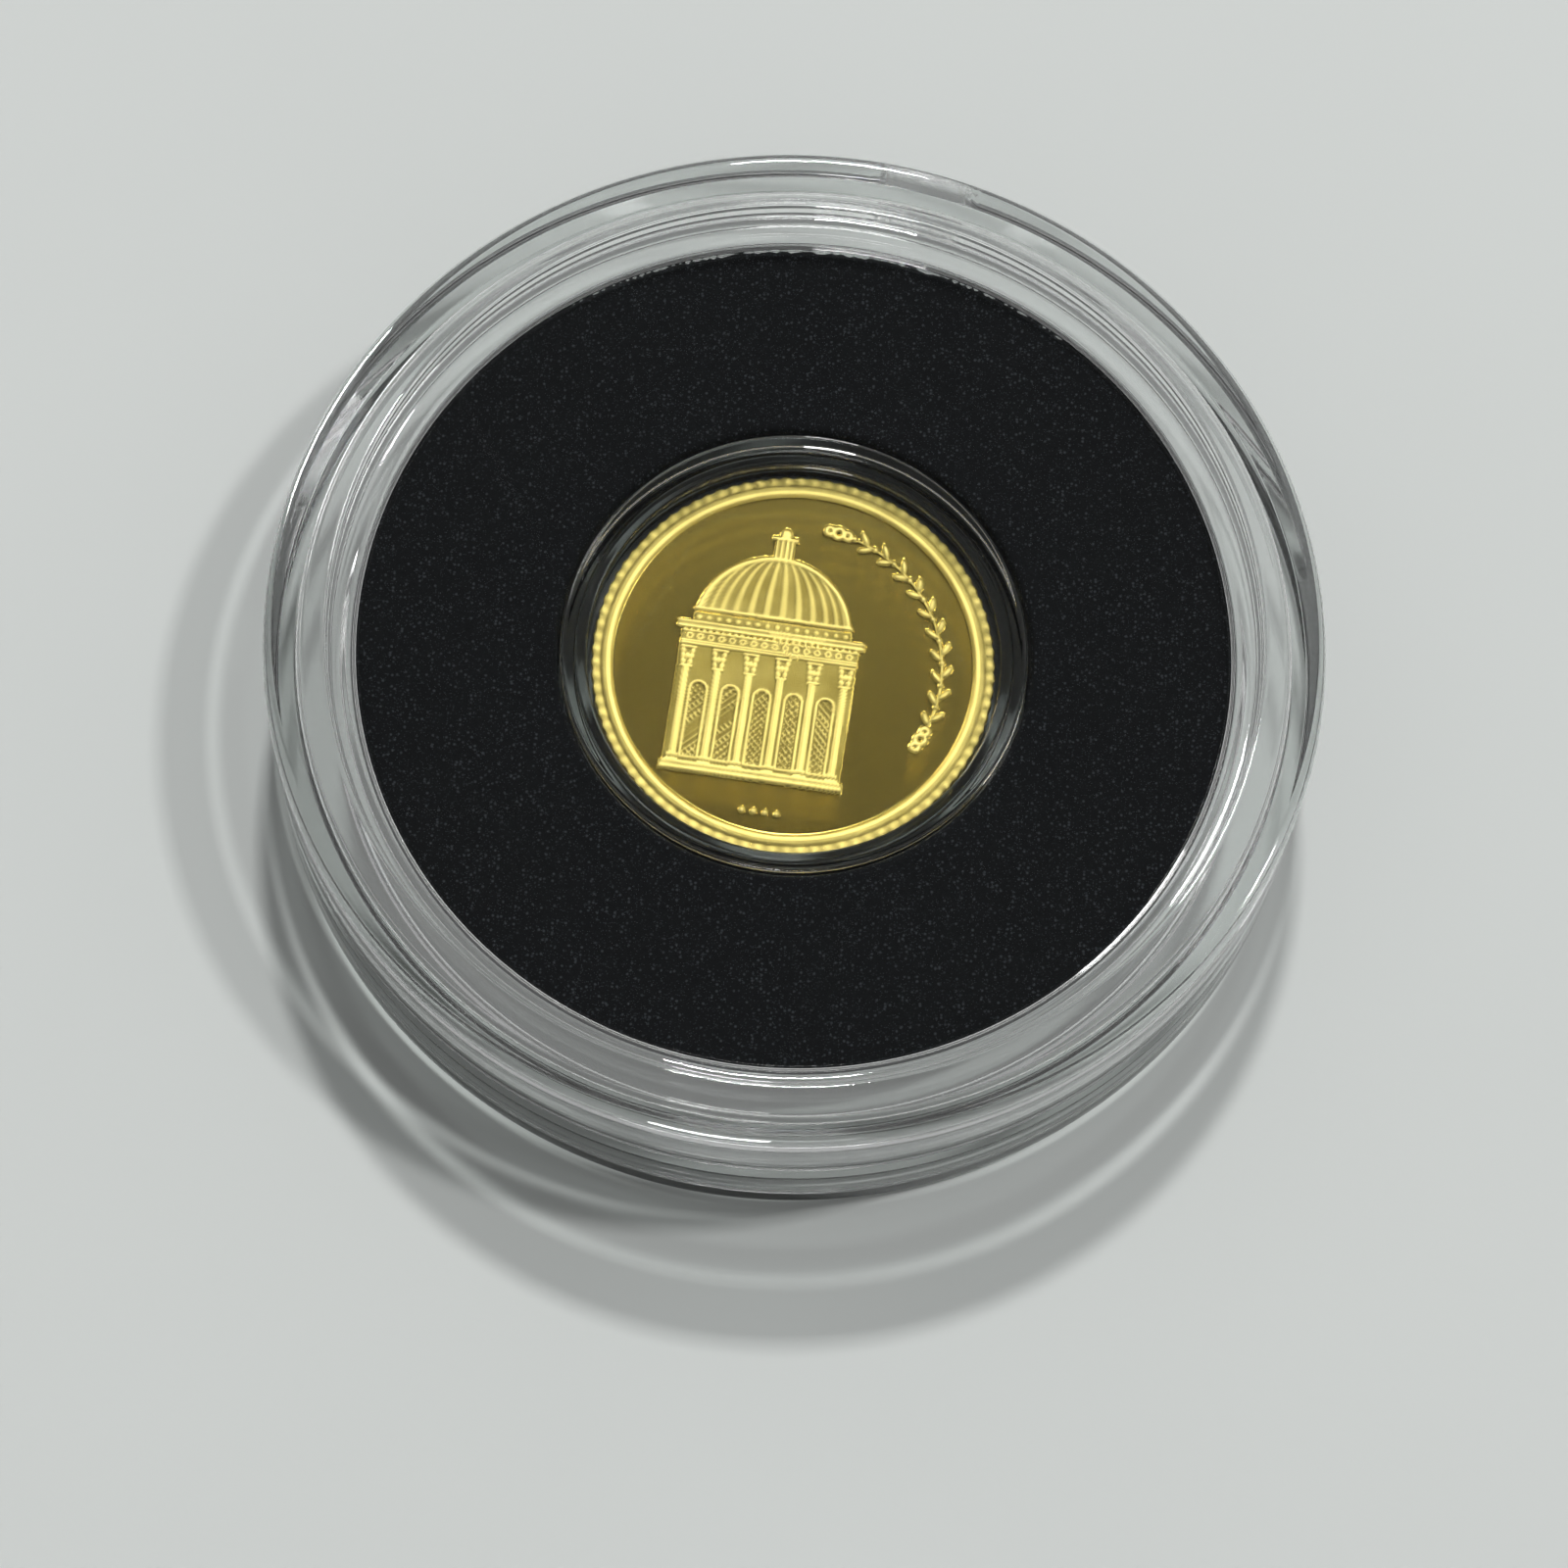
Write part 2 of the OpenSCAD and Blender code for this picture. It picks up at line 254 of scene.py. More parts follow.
def turned(name, points, closed=False, segments=400, shape=None):
    """Solid turned from an outline that runs anticlockwise, its open ends on the axis.

    shape, if given, moves the points: it takes and returns arrays of radius, angle and height.
    """
    ring = np.array([p for p in points if p.x > 0])
    turn = np.linspace(0, 2 * math.pi, segments, endpoint=False)
    r = np.repeat(ring[:, :1], segments, 1)
    z = np.repeat(ring[:, 1:], segments, 1)
    a = np.repeat(turn[None, :], len(ring), 0)
    if shape:
        r, a, z = shape(r, a, z)
    grid = np.stack([r * np.cos(a), r * np.sin(a), z], -1).reshape(-1, 3)
    here = np.arange(segments)
    there = np.roll(here, -1)
    rows = len(ring)
    faces = []
    for i in range(rows if closed else rows - 1):
        low, high = i * segments, (i + 1) % rows * segments
        faces += np.stack([low + here, low + there, high + there, high + here], -1).tolist()
    grid = grid.tolist()
    if not closed:
        first, last = len(grid), len(grid) + 1
        grid += [(0, 0, points[0].y), (0, 0, points[-1].y)]
        top = (rows - 1) * segments
        faces += np.stack([there, here, np.full(segments, first)], -1).tolist()
        faces += np.stack([top + here, top + there, np.full(segments, last)], -1).tolist()
    return shaded_mesh(name, grid, faces)


def mark(piece, name, values):
    """A mask on a piece's points that its material reads."""
    layer = piece.data.attributes.new(name, "FLOAT", "POINT")
    layer.data.foreach_set("value", np.asarray(values, np.float32).ravel())


# ---- shader node groups ----

def new_group(name, inputs, outputs):
    """Empty node group with the given sockets, and its input and output nodes."""
    group = bpy.data.node_groups.new(name, "ShaderNodeTree")
    for label, kind, value in inputs:
        socket = group.interface.new_socket(label, in_out="INPUT", socket_type="NodeSocket" + kind)
        socket.default_value = value
    for label, kind in outputs:
        group.interface.new_socket(label, in_out="OUTPUT", socket_type="NodeSocket" + kind)
    return group, group.nodes.new("NodeGroupInput"), group.nodes.new("NodeGroupOutput")


def add(tree, kind, options=None, **inputs):
    """A node with its options and inputs; an input is a value or a socket to link from."""
    node = tree.nodes.new("ShaderNode" + kind)
    for key, value in (options or {}).items():
        setattr(node, key, value)
    for key, value in inputs.items():
        socket = node.inputs[int(key[1:]) if key[0] == "i" and key[1:].isdigit() else key.replace("_", " ")]
        if isinstance(value, bpy.types.NodeSocket):
            tree.links.new(value, socket)
        else:
            socket.default_value = value
    return node


def maths(tree, operation, a, b=0.0, clamp=False):
    return add(tree, "Math", {"operation": operation, "use_clamp": clamp}, i0=a, i1=b).outputs[0]


def remap(tree, value, from_min, from_max, to_min=0.0, to_max=1.0):
    node = add(
        tree, "MapRange", Value=value,
        From_Min=from_min, From_Max=from_max, To_Min=to_min, To_Max=to_max)
    return node.outputs[0]


def mix_colours(tree, factor, a, b):
    node = add(tree, "Mix", {"data_type": "RGBA"})
    for index, value in ((0, factor), (6, a), (7, b)):
        if isinstance(value, bpy.types.NodeSocket):
            tree.links.new(value, node.inputs[index])
        else:
            node.inputs[index].default_value = value
    return node.outputs[2]


def place_in(tree, scale):
    """Object coordinates in a group, multiplied by a scale."""
    where = add(tree, "TexCoord").outputs["Object"]
    return add(tree, "VectorMath", {"operation": "SCALE"}, i0=where, Scale=scale).outputs[0]


def grain_group():
    """Fine irregular grain: a height, and a mask of its brightest specks."""
    group, given, out = new_group(
        "fine_grain",
        [("Scale", "Float", 8000.0), ("Speck share", "Float", 0.2)],
        [("Height", "Float"), ("Specks", "Float")],
    )
    where = place_in(group, given.outputs["Scale"])
    noise = add(group, "TexNoise", Vector=where, Scale=1.0, Detail=3.0, Roughness=0.65).outputs[0]
    cells = add(group, "TexVoronoi", Vector=where, Scale=0.9)
    height = maths(group, "SUBTRACT", noise, maths(group, "MULTIPLY", cells.outputs["Distance"], 0.5))
    pick = add(group, "SeparateColor", Color=cells.outputs["Color"]).outputs[0]
    chosen = maths(group, "LESS_THAN", pick, given.outputs["Speck share"])
    spot = remap(group, cells.outputs["Distance"], 0.45, 0.1)
    group.links.new(height, out.inputs["Height"])
    group.links.new(maths(group, "MULTIPLY", chosen, spot), out.inputs["Specks"])
    return group


def scratch_group():
    """Fine straight scratches in several directions, as a height and a mask."""
    group, given, out = new_group(
        "fine_scratches",
        [("Density", "Float", 900.0), ("Amount", "Float", 0.3)],
        [("Height", "Float"), ("Mask", "Float")],
    )
    total = None
    for turn in (0.4, 1.5, 2.6):
        where = place_in(group, given.outputs["Density"])
        turned_place = add(group, "VectorRotate", {"rotation_type": "Z_AXIS"}, Vector=where, Angle=turn)
        stretched = add(
            group, "VectorMath", {"operation": "MULTIPLY"}, i0=turned_place.outputs[0], i1=(1.0, 0.035, 1.0)
        )
        noise = add(group, "TexNoise", Vector=stretched.outputs[0], Scale=1.0, Detail=1.0).outputs[0]
        line = remap(group, noise, 0.70, 0.76)
        total = line if total is None else maths(group, "MAXIMUM", total, line)
    mask = maths(group, "MULTIPLY", total, given.outputs["Amount"], clamp=True)
    group.links.new(maths(group, "MULTIPLY", mask, -1.0), out.inputs["Height"])
    group.links.new(mask, out.inputs["Mask"])
    return group


def dust_group():
    """Sparse pale dust specks of mixed size, as a mask."""
    group, given, out = new_group(
        "dust", [("Spacing scale", "Float", 250.0), ("Size", "Float", 0.05)], [("Mask", "Float")]
    )
    where = place_in(group, given.outputs["Spacing scale"])
    cells = add(group, "TexVoronoi", Vector=where, Scale=1.0)
    pick = add(group, "SeparateColor", Color=cells.outputs["Color"])
    size = maths(group, "MULTIPLY", given.outputs["Size"], pick.outputs[1])
    near = maths(group, "LESS_THAN", cells.outputs["Distance"], size)
    rare = maths(group, "LESS_THAN", pick.outputs[0], 0.35)
    group.links.new(maths(group, "MULTIPLY", near, rare), out.inputs["Mask"])
    return group


def wave_group():
    """Slow waves of a moulded surface, as a height."""
    group, given, out = new_group("moulding_waves", [("Scale", "Float", 250.0)], [("Height", "Float")])
    where = place_in(group, given.outputs["Scale"])
    slow = add(group, "TexNoise", Vector=where, Scale=1.0, Detail=2.0, Roughness=0.45).outputs[0]
    group.links.new(slow, out.inputs["Height"])
    return group


GROUP_MAKERS = {
    "fine_grain": grain_group, "fine_scratches": scratch_group,
    "dust": dust_group, "moulding_waves": wave_group,
}


def use_group(tree, name, **inputs):
    """The named group placed in a material, with its own values."""
    node = tree.nodes.new("ShaderNodeGroup")
    node.node_tree = bpy.data.node_groups.get(name) or GROUP_MAKERS[name]()
    for key, value in inputs.items():
        node.inputs[key.replace("_", " ")].default_value = value
    return node


# ---- materials ----

def new_material(name):
    """Material with a Principled shader, and its node tree."""
    material = bpy.data.materials.new(name)
    material.use_nodes = True
    return material, material.node_tree, material.node_tree.nodes["Principled BSDF"]


def link(tree, source, target):
    tree.links.new(source, target)


def acrylic(name, scratched=1.0, clear=1.0):
    """Clear moulded acrylic with slow waves, fine scratches and frosted gate flats.

    Lamps' light goes straight through it, less of it where it meets the surface edge on.
    """
    s = settings("acrylic")
    material, tree, shader = new_material(name)
    shader.inputs["Transmission Weight"].default_value = clear
    shader.inputs["IOR"].default_value = 1.49
    gate = add(tree, "Attribute", {"attribute_name": "gate"}).outputs["Fac"]
    link(tree, mix_colours(tree, gate, (*s.tint, 1), (*s.gate_tint, 1)), shader.inputs["Base Color"])
    scratches = use_group(tree, "fine_scratches", Density=900.0, Amount=s.scratches * scratched)
    polished = remap(tree, scratches.outputs["Mask"], 0.0, 1.0, s.roughness, 0.2)
    link(tree, maths(tree, "MAXIMUM", polished, maths(tree, "MULTIPLY", gate, s.gate_roughness)),
         shader.inputs["Roughness"])
    waves = use_group(tree, "moulding_waves", Scale=1 / s.wave_size)
    slow = add(tree, "Bump", Strength=s.wave, Distance=0.1 * MM, Height=waves.outputs["Height"])
    grain = use_group(tree, "fine_grain", Scale=6000.0)
    cut = add(
        tree, "Bump", Strength=0.6, Distance=0.05 * MM,
        Height=maths(tree, "MULTIPLY", grain.outputs["Height"], gate), Normal=slow.outputs[0],
    )
    fine = add(
        tree, "Bump", Strength=0.25, Distance=0.003 * MM,
        Height=scratches.outputs["Height"], Normal=cut.outputs[0],
    )
    link(tree, fine.outputs[0], shader.inputs["Normal"])

    path = add(tree, "LightPath")
    facing = add(tree, "LayerWeight", Blend=0.5).outputs["Facing"]
    leaving = add(tree, "NewGeometry").outputs["Backfacing"]
    slant = maths(tree, "MULTIPLY", remap(tree, facing, 0.2, 0.45), maths(tree, "SUBTRACT", 1.0, leaving))
    shade = mix_colours(tree, slant, (*s.shade, 1), (*s.edge_shade, 1))
    lamp_light = add(tree, "BsdfTransparent", Color=shade)
    soft_light = add(tree, "BsdfTransparent", Color=(*s.shade, 1))
    shadow = add(
        tree, "MixShader",
        i0=path.outputs["Is Shadow Ray"], i1=shader.outputs[0], i2=lamp_light.outputs[0])
    diffuse = add(
        tree, "MixShader",
        i0=path.outputs["Is Diffuse Ray"], i1=shadow.outputs[0], i2=soft_light.outputs[0])
    link(tree, diffuse.outputs[0], tree.nodes["Material Output"].inputs["Surface"])
    return material


def foam_black():
    """Matt black foam: dark cells, cell walls that catch the light, and a little dust."""
    s = settings("foam")
    material, tree, shader = new_material("cut_foam")
    grain = use_group(tree, "fine_grain", Scale=1 / s.cell, Speck_share=0.3)
    fine = use_group(tree, "fine_grain", Scale=2.6 / s.cell, Speck_share=0.25)
    specks = maths(tree, "MAXIMUM", grain.outputs["Specks"], fine.outputs["Specks"])
    body = mix_colours(tree, specks, (*s.colour, 1), (*s.cell_colour, 1))
    dust = use_group(tree, "dust", Spacing_scale=260.0, Size=0.05)
    dusty = mix_colours(tree, dust.outputs["Mask"], body, (0.5, 0.52, 0.52, 1))
    link(tree, dusty, shader.inputs["Base Color"])
    shader.inputs["Roughness"].default_value = 0.85
    shader.inputs["Specular IOR Level"].default_value = 0.03
    bump = add(tree, "Bump", Strength=0.7, Distance=0.03 * MM, Height=grain.outputs["Height"])
    link(tree, bump.outputs[0], shader.inputs["Normal"])
    return material


def struck_gold():
    """Gold with a polished field, a frosted relief and a half-bright rim; its colour holds painted shade in
    the relief's low parts and painted highlights on its high parts.
    """
    s = settings("coin")
    material, tree, shader = new_material("struck_gold")
    shader.inputs["Metallic"].default_value = 1.0
    frost = add(tree, "Attribute", {"attribute_name": "frost"}).outputs["Fac"]
    grain = use_group(tree, "fine_grain", Scale=26000.0, Speck_share=0.5)
    blotches = use_group(tree, "moulding_waves", Scale=900.0)
    scratches = use_group(tree, "fine_scratches", Density=1500.0, Amount=0.15)
    # The relief mask is painted light: 0 gives painted shade in low parts, 1 a painted highlight on high
    # parts and bead tops
    relief = add(tree, "Attribute", {"attribute_name": "relief"}).outputs["Fac"]
    tone = remap(tree, blotches.outputs["Height"], 0.2, 0.8, -0.12, 0.12)
    level = maths(tree, "ADD", relief, tone, clamp=True)
    struck = mix_colours(tree, level, (*s.painted_shade_gold, 1), (*s.painted_highlight_gold, 1))
    link(tree, mix_colours(tree, frost, (*s.gold, 1), struck), shader.inputs["Base Color"])
    polished = remap(tree, scratches.outputs["Mask"], 0.0, 1.0, s.mirror, s.mirror + 0.2)
    rough = add(tree, "Mix", {"data_type": "FLOAT"}, i0=frost, i2=polished, i3=s.frost)
    link(tree, rough.outputs[0], shader.inputs["Roughness"])
    sand = maths(tree, "MULTIPLY", grain.outputs["Height"], frost)
    bump = add(tree, "Bump", Strength=0.8, Distance=0.012 * MM, Height=sand)
    link(tree, bump.outputs[0], shader.inputs["Normal"])
    return material


def floor_white():
    """Plain matt white floor with a barely visible mottle."""
    s = settings("stage")
    material, tree, shader = new_material("floor_white")
    mottle = use_group(tree, "moulding_waves", Scale=60.0)
    dim = tuple(c * 0.985 for c in s.floor)
    link(
        tree,
        mix_colours(tree, remap(tree, mottle.outputs["Height"], 0.3, 0.7), (*dim, 1), (*s.floor, 1)),
        shader.inputs["Base Color"],
    )
    shader.inputs["Roughness"].default_value = 0.9
    shader.inputs["Specular IOR Level"].default_value = 0.1
    grain = use_group(tree, "fine_grain", Scale=3000.0)
    bump = add(tree, "Bump", Strength=0.1, Distance=0.02 * MM, Height=grain.outputs["Height"])
    link(tree, bump.outputs[0], shader.inputs["Normal"])
    return material


def finish_piece(piece, material, body, node):
    """Puts a built piece in its CAD node's place."""
    piece.data.materials.append(material)
    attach(piece, body)
    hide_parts(node)
    return piece


# ---- outer capsule ----

def gate_shape(at, z, masks):
    """Shape function that cuts a gate's flat on the outer wall, and notes where it cut."""
    s = settings("shell")
    r_wall = shell_levels()["r"]
    flat = math.sqrt(r_wall ** 2 - (s.gate_w / 2) ** 2)

    def cut(r, a, height):
        off = (a - at + math.pi) % (2 * math.pi) - math.pi
        limit = flat / np.cos(np.clip(off, -1, 1))
        touched = (np.abs(off) < 0.5) & (np.abs(height - z) < s.gate_h / 2) & (r > limit)
        masks.append(touched)
        return np.where(touched, limit, r), a, height

    return cut


def gate_edges(r, z):
    """Outline points that keep the gate's flat crisp at its lower and upper edge."""
    half, crisp = settings("shell").gate_h / 2, 0.01 * MM
    return [(r, z - half - crisp), (r, z - half + crisp)], [(r, z + half - crisp), (r, z + half + crisp)]


def scuff_and_light_faces(piece, material, r_range, z_range):
    """Gives the faces between two radii and two heights the hazed material: partly the scuffing of faces that
    rub, partly painted light that brightens the rims.
    """
    mesh = piece.data
    mesh.materials.append(material)
    for face in mesh.polygons:
        r = math.hypot(face.center.x, face.center.y)
        if r_range[0] < r < r_range[1] and z_range[0] < face.center.z < z_range[1]:
            face.material_index = 1


def build_shell(name, corners, gate_angle, gate_z, material, body, node):
    """A turned half of the outer capsule with its gate's flat, in clear acrylic."""
    masks = []
    points = outline(corners)
    piece = turned(name, points, segments=400, shape=gate_shape(gate_angle, gate_z, masks))
    mark(piece, "gate", np.append(masks[0].ravel(), [0, 0]))
    return finish_piece(piece, material, body, node)


class CAPSULE_OT_outer_shells(Operator):
    """Base and lid of the outer capsule"""
    bl_idname = "capsule.outer_shells"
    bl_label = "Outer Shells"

    def execute(self, context):
        s, v = settings("shell"), shell_levels()
        material = acrylic("moulded_acrylic")
        # Hazed acrylic on the faces that rub: partly real scuffs, partly painted light that brightens the
        # rims
        scuff_and_light_material = acrylic("scuffed_brightened_acrylic", clear=settings("acrylic").scuff_and_light_clear)
        scuff_and_light_r = (v["plug"] - REST_GAP, v["skirt_in"] + REST_GAP)
        low_gate, high_gate = v["part"] / 2, v["h"] - v["part"] / 2
        low, high = gate_edges(v["r"], low_gate)
        base = build_shell("base_shell", [
            (0, s.recess_depth),
            (v["recess_r"], s.recess_depth, s.recess_fillet),
            (v["recess_r"], 0, s.rim_round),
            (v["r"], 0, s.outer_round),
            *low, *high,
            (v["r"], v["part"] - s.groove_h / 2, 0.05 * MM),
            (v["r"] - s.groove_depth, v["part"], 0.04 * MM),
            (v["wall_out"], v["part"], s.corner_fillet),
            (v["wall_out"], v["wall_top"], s.hidden_round),
            (v["seat"], v["wall_top"], s.hidden_round),
            (v["seat"], v["floor"], s.corner_fillet),
            (0, v["floor"]),
        ], s.base_gate, low_gate, material, "base", "capsule_base")
        scuff_and_light_faces(base, scuff_and_light_material, scuff_and_light_r, (v["floor"] + REST_GAP, v["h"]))
        low, high = gate_edges(v["r"], high_gate)
        part = v["part"] + REST_GAP
        lid = build_shell("lid_shell", [
            (0, v["window"]),
            (v["plug"], v["window"], s.hidden_round),
            (v["plug"], v["plate"], s.corner_fillet),
            (v["skirt_in"], v["plate"], s.corner_fillet),
            (v["skirt_in"], part, s.hidden_round),
            (v["r"] - s.groove_depth, part, 0.04 * MM),
            (v["r"], v["part"] + s.groove_h / 2, 0.05 * MM),
            *low, *high,
            (v["r"], v["h"], s.outer_round),
            (v["recess_r"], v["h"], s.rim_round),
            (v["recess_r"], v["h"] - s.recess_depth, s.recess_fillet),
            (0, v["h"] - s.recess_depth),
        ], s.lid_gate, high_gate, material, "lid", "capsule_lid")
        scuff_and_light_faces(lid, scuff_and_light_material, scuff_and_light_r, (0, v["plate"] + REST_GAP))
        return {"FINISHED"}


# ---- small capsule ----

class CAPSULE_OT_small_shells(Operator):
    """Base and lid of the small capsule round the coin"""
    bl_idname = "capsule.small_shells"
    bl_label = "Small Shells"

    def execute(self, context):
        s = settings("small_shell")
        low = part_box("inner_base")[0].z + REST_GAP
        r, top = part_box("inner_lid")[1].x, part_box("inner_lid")[1].z
        skirt = r - s.skirt_wall
        wall = skirt - s.lid_gap
        seat = wall - s.wall
        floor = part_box("inner_base")[0].z + s.floor_t
        part, window = floor + s.shoulder, top - s.top_t
        material = acrylic("small_acrylic", scratched=0.5)
        base = turned("small_base_shell", outline([
            (0, low),
            (r, low, s.outer_round),
            (r, part, s.fillet),
            (wall, part, 0.03 * MM),
            (wall, window - s.top_gap, s.fillet),
            (seat, window - s.top_gap, s.fillet),
            (seat, floor, s.fillet),
            (0, floor),
        ]), segments=300)
        finish_piece(base, material, "small_base", "inner_base")
        lid = turned("small_lid_shell", outline([
            (0, window),
            (skirt, window, 0.05 * MM),
            (skirt, part + REST_GAP, 0.05 * MM),
            (r, part + REST_GAP, s.fillet),
            (r, top, s.outer_round),
            (0, top),
        ]), segments=300)
        finish_piece(lid, material, "small_lid", "inner_lid")
        return {"FINISHED"}


# ---- foam ring ----

class CAPSULE_OT_foam_ring(Operator):
    """Black foam ring with open cells in its cut faces"""
    bl_idname = "capsule.foam_ring"
    bl_label = "Foam Ring"

    def execute(self, context):
        s, low, high = settings("foam"), *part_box("foam_ring")
        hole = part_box("inner_lid")[1].x + 0.1 * MM
        inner, outer = hole, high.x
        edge = 0.15 * MM
        rows, side_rows = 66, 14
        bottom = low.z + 2 * REST_GAP
        across = np.linspace(inner + edge, outer - edge, rows)
        up = np.linspace(bottom + edge, high.z - edge, side_rows)
        points = [(outer, z) for z in up]
        points += [(r, high.z) for r in across[::-1]]
        points += [(inner, z) for z in up[::-1]]
        points += [(r, bottom) for r in across[::6]]
        rng = np.random.default_rng(7)

        def cells(r, a, z):
            depth = rng.random(r.shape) ** 2 * s.depth
            on_top, on_side = z > high.z - edge / 2, (z < high.z - edge / 2) & (z > bottom + edge / 2)
            z = np.where(on_top, z - depth, z)
            away = np.where(r > (inner + outer) / 2, -1, 1)
            return np.where(on_side, r + away * depth, r), a, z

        ring = turned("foam_insert", [Vector(p) for p in points], closed=True, segments=720, shape=cells)
        finish_piece(ring, foam_black(), "insert", "foam_ring")
        return {"FINISHED"}


# ---- coin: relief as a height over the field, in the units of its own drawing ----

DRAWN_FIELD_R = 6.26
DRAWN_RELIEF = 0.1

def ramp(x, low, high):
    """Smooth step from 0 at low to 1 at high."""
    t = np.clip((x - low) / (high - low), 0, 1)
    return t * t * (3 - 2 * t)


def ridge(distance, half_w, h):
    """Half-round ridge along the line where distance is 0."""
    return h * np.sqrt(np.clip(1 - (distance / half_w) ** 2, 0, 1))


def plate(inside, h, bevel=0.06):
    """Flat raised area with bevelled edges; inside is the distance from its edge, positive within."""
    return h * ramp(inside, 0, bevel)


def block(x, y, x0, x1, y0, y1):
    """Distance inside a rectangle."""
    return np.minimum(np.minimum(x - x0, x1 - x), np.minimum(y - y0, y1 - y))


def bump(x, y, cx, cy, rx, ry, h, lean=0.0):
    """Oval boss, leaning by an angle."""
    c, s = math.cos(lean), math.sin(lean)
    dx, dy = x - cx, y - cy
    along, over = dx * c + dy * s, dy * c - dx * s
    return h * np.sqrt(np.clip(1 - (along / rx) ** 2 - (over / ry) ** 2, 0, 1))


def ring_bump(x, y, cx, cy, r, half_w, h):
    return ridge(np.hypot(x - cx, y - cy) - r, half_w, h)


def highest(*layers):
    return np.maximum.reduce(layers)


# The pavilion's middle and levels, its bays between columns, and its dome
MIDDLE = -0.9
FLOOR = -4.1
EAVES = 0.2
DRUM = 1.1
BAYS = 5
BAY = 1.1
HALF_W = (BAYS + 0.6) * BAY / 2
DOME_R = 2.75


def repeated(x, spacing):
    """Distance from the middle of the nearest of many even steps."""
    return (x / spacing % 1 - 0.5) * spacing


def dome(x, y):
    """Ribbed half-round dome over a drum of discs, with a lantern and a ball."""
    dx, up = x - MIDDLE, y - DRUM
    away, wide = np.hypot(dx, up), np.abs(dx) < DOME_R
    side = np.clip(dx / np.sqrt(np.clip(DOME_R ** 2 - up ** 2, 0.01, None)), -1, 1)
    body = plate(np.minimum(DOME_R - away, up - 0.42), 0.04)
    body += (body > 0.035) * ridge(repeated(np.arcsin(side) / math.pi, 1 / 15), 0.016, 0.025)
    drum = plate(block(dx, up, -DOME_R, DOME_R, -0.1, 0.34), 0.04, 0.04)
    lantern = plate(block(dx, up, -0.35, 0.35, DOME_R - 0.12, DOME_R + 0.68), 0.05, 0.05)
    return highest(
        body, drum, lantern,
        ridge(away - DOME_R + 0.1, 0.1, 0.09) * (up > 0.42),
        ridge(up - 0.47, 0.08, 0.1) * wide,
        bump(repeated(dx, 0.34), up, 0, 0.14, 0.11, 0.11, 0.09) * wide,
        ridge(repeated(dx, 0.175), 0.045, 0.09) * (lantern > 0.04),
        ridge(np.abs(up - DOME_R - 0.28) - 0.4, 0.07, 0.1) * (np.abs(dx) < 0.45),
        bump(dx, up, 0, DOME_R + 0.86, 0.22, 0.22, 0.1),
    )


def entablature(x, y):
    """Straight mouldings over the columns, with brackets and a frieze of rings."""
    dx, up = x - MIDDLE, y - EAVES
    inside = HALF_W - np.abs(dx)
    low = plate(np.minimum(inside, block(dx, up, -9, 9, 0, 0.54)), 0.045, 0.04)
    top = plate(np.minimum(inside + 0.17, block(dx, up, -9, 9, 0.6, 0.9)), 0.06, 0.04)
    lines = [ridge(up - level, 0.045, 0.09) * (inside > 0) for level in (0.04, 0.14, 0.5)]
    lines += [ridge(up - level, 0.06, 0.1) * (inside > -0.17) for level in (0.66, 0.84)]
    brackets = ridge(repeated(dx, 0.22), 0.06, 0.09) * (np.abs(up - 0.58) < 0.07) * (inside > 0)
    rings = ring_bump(repeated(dx, 0.37), up, 0, 0.32, 0.09, 0.05, 0.085) * (inside > 0.1)
    return highest(low, top, brackets, rings, *lines)


def column(x, y, cx):
    """Fluted column with a leafy capital and a moulded base."""
    neck = EAVES - 0.8
    on_shaft = (y > FLOOR + 0.25) & (y < neck)
    flutes = 0.014 * np.cos((x - cx) / 0.05 * math.pi)
    shaft = (ridge(x - cx, 0.15, 0.09) + np.where(np.abs(x - cx) < 0.12, flutes, 0)) * on_shaft
    parts = [
        shaft,
        plate(block(x, y, cx - 0.24, cx + 0.24, FLOOR, FLOOR + 0.14), 0.09, 0.04),
        ridge(y - FLOOR - 0.23, 0.07, 0.1) * (np.abs(x - cx) < 0.2),
        ridge(y - neck, 0.05, 0.1) * (np.abs(x - cx) < 0.2),
        plate(block(x, y, cx - 0.3, cx + 0.3, EAVES - 0.16, EAVES - 0.03), 0.1, 0.04),
    ]
    for row, count in ((0.16, 2), (0.36, 3), (0.56, 2)):
        spread = 0.1 + 0.12 * row
        for i in range(count):
            offset = (i - (count - 1) / 2) * spread * 2 / (count - 1)
            parts.append(bump(x, y, cx + offset, neck + row, 0.1, 0.14, 0.1, -offset * 2))
    return highest(*parts)


def opening(x, y, cx):
    """Round-topped opening filled with garden trellis, and how deep it is."""
    half_w, sill, spring = 0.36, FLOOR + 0.15, -1.4
    dx = x - cx
    inside = np.minimum(half_w - np.hypot(dx, np.maximum(y - spring, 0)), y - sill)
    pane = inside > 0.13
    slats = [ridge(repeated(dx + lean * y, 0.24), 0.03, 0.07) * pane for lean in (-1, 1)]
    frame_edge = ridge(inside - 0.06, 0.06, 0.09) * (y > sill)
    return highest(frame_edge, *slats), ramp(inside, 0.1, 0.16)


